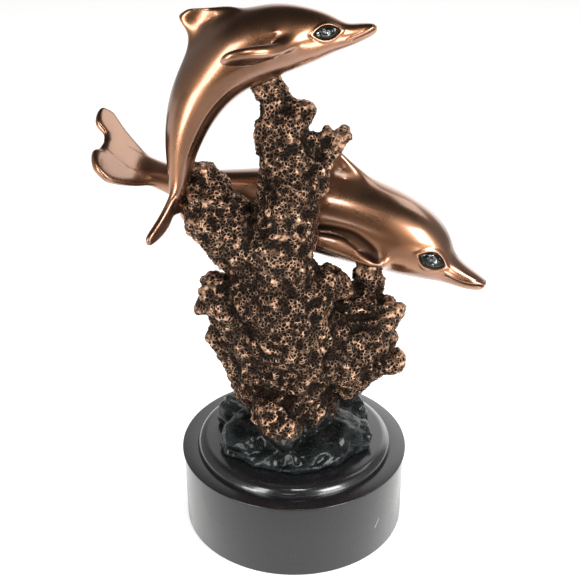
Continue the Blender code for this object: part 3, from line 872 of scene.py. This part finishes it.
reef = {
    "voxel": 0.88, "smoothing": 3, "growth": 0.25,  # a little thicker all over, for what the smoothing takes
    # lumps and finer knobs on the coral, with how pointed and how far raised the lumps are
    "lumpSize": 7.0, "lumpHeight": 1.6, "lumpSharpness": 2.2, "lumpMiddle": 0.55,
    "knobSize": 3.0, "knobHeight": 0.9, "knobPlace": (5, 1, 8),
    # crackle: size of its cells, how far they are warped, and the ridges between them
    "cell": 1.9, "warp": 0.9, "warpScale": 260.0,
    "ridgeHeight": 0.3, "pitDepth": 0.35, "ridgeLimits": (0.03, 0.26),
    # folds of the dark mound, flattened by the stretch, and the finer knobs on them
    "foldSize": 13.0, "foldHeight": 1.2, "foldStretch": 2.2, "foldMiddle": 0.6, "foldKnob": 0.3,
    # where the mound ends: its height, the size and depth of its wavy edge, and how softly it goes over
    "moundTop": 72.0, "wobble": 6, "moundFade": 4,
    "foot": 51.9,  # nothing goes below this height, just above the plinth's top
    "footLobe": (-10, -24, 79, 12), "lobeFade": 5,  # centre and reach of the coral's copper foot on the mound
    "swells": [((-50, 7, 204), 15, (-5.5, 0, 1.5))],  # centre, reach and shift, by the upper dolphin's tail
    # height and width of a ridge on the mound, then the points that it passes
    "ridges": [(1.5, 1.1, [(-6, -41.5, 54), (-3.4, -41.2, 54), (8.5, -37.6, 54.5), (16, -34.5, 55),
                           (23.4, -30.4, 55)]),
               (1.6, 1.5, [(32.6, 18, 62), (39, 10.7, 62), (43, 0.5, 62), (43.8, -14.3, 60)])],
    "skinReach": 4.0, "skinGap": 0.05, "crestRounds": 40,
}


def moundShare(place):  # 1 on the dark mound, 0 on the coral
    lobeX, lobeY, lobeZ, lobeReach = reef["footLobe"]
    wobble = noise.noise(place / reef["wobble"]) * reef["wobble"]
    share = ease(place.z + wobble, reef["moundTop"] + reef["moundFade"], reef["moundTop"] - reef["moundFade"])
    lobe = (place - Vector((lobeX, lobeY, lobeZ))).length + wobble / 2
    return share * ease(lobe, lobeReach - reef["lobeFade"], lobeReach + reef["lobeFade"])


def crackleModifier():
    # raises the ridges between the coral's cells and keeps the warped cell place for the material
    tree = bpy.data.node_groups.new("coral crackle", "GeometryNodeTree")
    tree.interface.new_socket("Geometry", in_out="INPUT", socket_type="NodeSocketGeometry")
    tree.interface.new_socket("Geometry", in_out="OUTPUT", socket_type="NodeSocketGeometry")
    recipe = Recipe(tree)

    def scaled(vector, factor):
        return recipe.node("ShaderNodeVectorMath", {"operation": "SCALE"}, {0: vector, "Scale": factor})

    start = recipe.node("NodeGroupInput")
    place = recipe.node("GeometryNodeInputPosition")
    drift = recipe.node("ShaderNodeTexNoise", {},
                        {"Vector": place, "Scale": reef["warpScale"], "Detail": 1.0}, "Color")
    cell = recipe.node("ShaderNodeVectorMath", {"operation": "ADD"},
                       {0: scaled(place, 1 / (reef["cell"] * mm)), 1: scaled(drift, reef["warp"])})
    stored = recipe.node("GeometryNodeStoreNamedAttribute", {"data_type": "FLOAT_VECTOR", "domain": "POINT"},
                         {"Geometry": start, "Name": "cell", "Value": cell})
    ridge = 1 - recipe.cellEdge(cell).step(*reef["ridgeLimits"])
    mound = recipe.node("GeometryNodeInputNamedAttribute", {"data_type": "FLOAT"}, {"Name": "mound"})
    height = (ridge * (reef["ridgeHeight"] + reef["pitDepth"]) * mm - reef["pitDepth"] * mm) * (1 - mound)
    move = scaled(recipe.node("GeometryNodeInputNormal"), height)
    moved = recipe.node("GeometryNodeSetPosition", {}, {"Geometry": stored, "Offset": move})
    end = tree.nodes.new("NodeGroupOutput")
    recipe.feed(end.inputs[0], moved)
    return tree


def clearOf(casts, mesh, gap):
    # moves the points that reach into a dolphin out to its skin
    places = pointPlaces(mesh)
    for cast in casts:
        bm = bmesh.new()
        bm.from_mesh(cast.data)
        skin = BVHTree.FromBMesh(bm)
        bm.free()
        for i, place in enumerate(places):
            point, normal, _, _ = skin.find_nearest(Vector(place), reef["skinReach"] * mm)
            if point and (Vector(place) - point).dot(normal) < gap:
                places[i] = point + normal * gap
    mesh.vertices.foreach_set("co", places.ravel())


def softCoral():  # the CAD's coral with its facets smoothed away
    bm = bmesh.new()
    bm.from_mesh(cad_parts["coral"].data)
    bmesh.ops.remove_doubles(bm, verts=bm.verts, dist=1e-5)
    coral = meshObject(bm, "coral_cast")
    remesh = coral.modifiers.new("even faces", "REMESH")
    remesh.mode = "VOXEL"
    remesh.voxel_size = reef["voxel"] * mm
    soften = coral.modifiers.new("soften the facets", "SMOOTH")
    soften.factor = 0.5
    soften.iterations = reef["smoothing"]
    applyModifiers(coral)
    return coral


def growLumps(bm):
    moundLayer = bm.verts.layers.float.new("mound")
    for v in bm.verts:
        place = v.co / mm
        share = moundShare(place)
        lump = 1 - reef["lumpSharpness"] * abs(noise.noise(place / reef["lumpSize"]))
        knob = noise.noise(place / reef["knobSize"] + Vector(reef["knobPlace"]))
        stretched = Vector((place.x, place.y, place.z * reef["foldStretch"]))
        fold = 1 - 2 * abs(noise.noise(stretched / reef["foldSize"]))
        grown = reef["growth"] + (lump - reef["lumpMiddle"]) * reef["lumpHeight"] + knob * reef["knobHeight"]
        folded = (fold - reef["foldMiddle"]) * reef["foldHeight"] + knob * reef["foldKnob"]
        v.co += v.normal * (grown * (1 - share) + folded * share) * mm
        for centre, reach, shift in reef["swells"]:
            v.co += Vector(shift) * mm * ease((place - Vector(centre)).length, reach, 0)
        v[moundLayer] = share


def raiseRidges(bm):
    skin = BVHTree.FromBMesh(bm)
    for height, width, points in reef["ridges"]:
        path = smoothLine([skin.find_nearest(Vector(point) * mm)[0] / mm for point in points], 10)
        tree = pathTree(path)
        for v in bm.verts:
            aside = tree.find(v.co / mm)[2]
            if aside < 3 * width:
                v.co += v.normal * height * mm * math.exp(-(aside / width) ** 2)


def makeCoral():
    coral = softCoral()
    bm = bmesh.new()
    bm.from_mesh(coral.data)
    bm.normal_update()
    growLumps(bm)
    raiseRidges(bm)
    bm.to_mesh(coral.data)
    bm.free()
    crackle = coral.modifiers.new("crackle", "NODES")
    crackle.node_group = crackleModifier()
    mesh = applyModifiers(coral)

    clearOf(casts, mesh, reef["skinGap"] * mm)
    storePoints(mesh, "crest", crestHeights(mesh, reef["crestRounds"]) / mm)
    places = pointPlaces(mesh)
    places[:, 2] = np.maximum(places[:, 2], reef["foot"] * mm)
    mesh.vertices.foreach_set("co", places.ravel())
    shadeSmooth(coral)
    print("coral has", len(mesh.loops) - 2 * len(mesh.polygons), "triangles")
    return coral


patina = {
    # ridgeUnlit is the ridges' copper in painted shade, away from the painted light and glints
    "ridge": (0.70, 0.42, 0.27), "ridgeUnlit": (0.07, 0.038, 0.023), "pit": (0.006, 0.004, 0.003),
    # rockRaisedLight is the mound's tone in painted light on its raised parts
    "verdigris": (0.007, 0.011, 0.009), "rock": (0.003, 0.004, 0.004), "rockRaisedLight": (0.010, 0.013, 0.013),
    "fineScale": 900.0, "broadScale": 55.0, "paintedGlintScale": 330.0,
    # the limits between which each thing comes in: copper on the ridges, its painted light on the high
    # parts and painted shade in the hollows, copper over the highest parts, painted light on the mound's
    # raised parts and the ridges' fine painted glints
    "ridgeLimits": (0.02, 0.14), "litLimits": (-0.7, 1.2), "highestCopperLimits": (0.9, 1.5), "rockLightLimits": (0.1, 0.9),
    "paintedGlintLimits": (0.42, 0.62),
    "bumpDepth": 0.0005, "moundCoat": 0.36, "coatRoughness": 0.12, "specular": 0.1,
}


def coralMaterial():
    material, recipe, shader = newMaterial("crackled bronze")
    place = recipe.objectPlace()
    mound = recipe.attribute("mound")
    crest = recipe.attribute("crest")
    edge = recipe.cellEdge(recipe.attribute("cell", "Vector"))
    fine = recipe.noise(place, patina["fineScale"], 3.0, 0.6)
    broad = recipe.noise(place, patina["broadScale"], 3.0)
    # painted glints: random bright spots on the ridges' copper
    spark = recipe.noise(place, patina["paintedGlintScale"], 2.0).step(*patina["paintedGlintLimits"])
    # painted light on the high parts and painted shade in the hollows
    lit = (crest + 1.5 * (broad - 0.5)).step(*patina["litLimits"])
    # copper spread over the highest parts
    highestCopper = (crest + 1.6 * (broad - 0.5)).step(*patina["highestCopperLimits"])
    ridge = 1 - (edge + 0.16 * (fine - 0.5)).step(*patina["ridgeLimits"])
    ridge = ridge + (1 - ridge) * highestCopper * 0.6

    # the ridges' copper, brightened by the painted light and the painted glints
    copper = recipe.mix(lit * (0.1 + 0.9 * spark), patina["ridgeUnlit"], patina["ridge"])
    pit = recipe.mix(0.6 * broad.step(0.45, 0.7), patina["pit"], patina["verdigris"])
    # the ridges fade into the pits' dark where the painted shade falls
    colour = recipe.mix(ridge * (0.4 + 0.6 * lit), pit, copper)
    # painted light on the mound's raised parts and painted shade in its hollows
    high = (crest + 0.8 * (fine - 0.5)).step(*patina["rockLightLimits"])
    colour = recipe.mix(mound, colour, recipe.mix(high, patina["rock"], patina["rockRaisedLight"]))
    setSockets(recipe, shader, {
        "Base Color": colour,
        "Metallic": (0.35 + 0.6 * ridge) * (1 - 0.85 * mound),
        "Roughness": 0.62 - 0.30 * ridge - 0.26 * mound + 0.1 * fine,
        "Coat Weight": patina["moundCoat"] * mound,
        "Coat Roughness": patina["coatRoughness"],
        "Specular IOR Level": patina["specular"],
        "Normal": recipe.bump(0.5, patina["bumpDepth"], ridge + 0.25 * fine),
    })
    return material


joinTrophy(makeCoral(), "coral", coralMaterial())
print("coral ready")
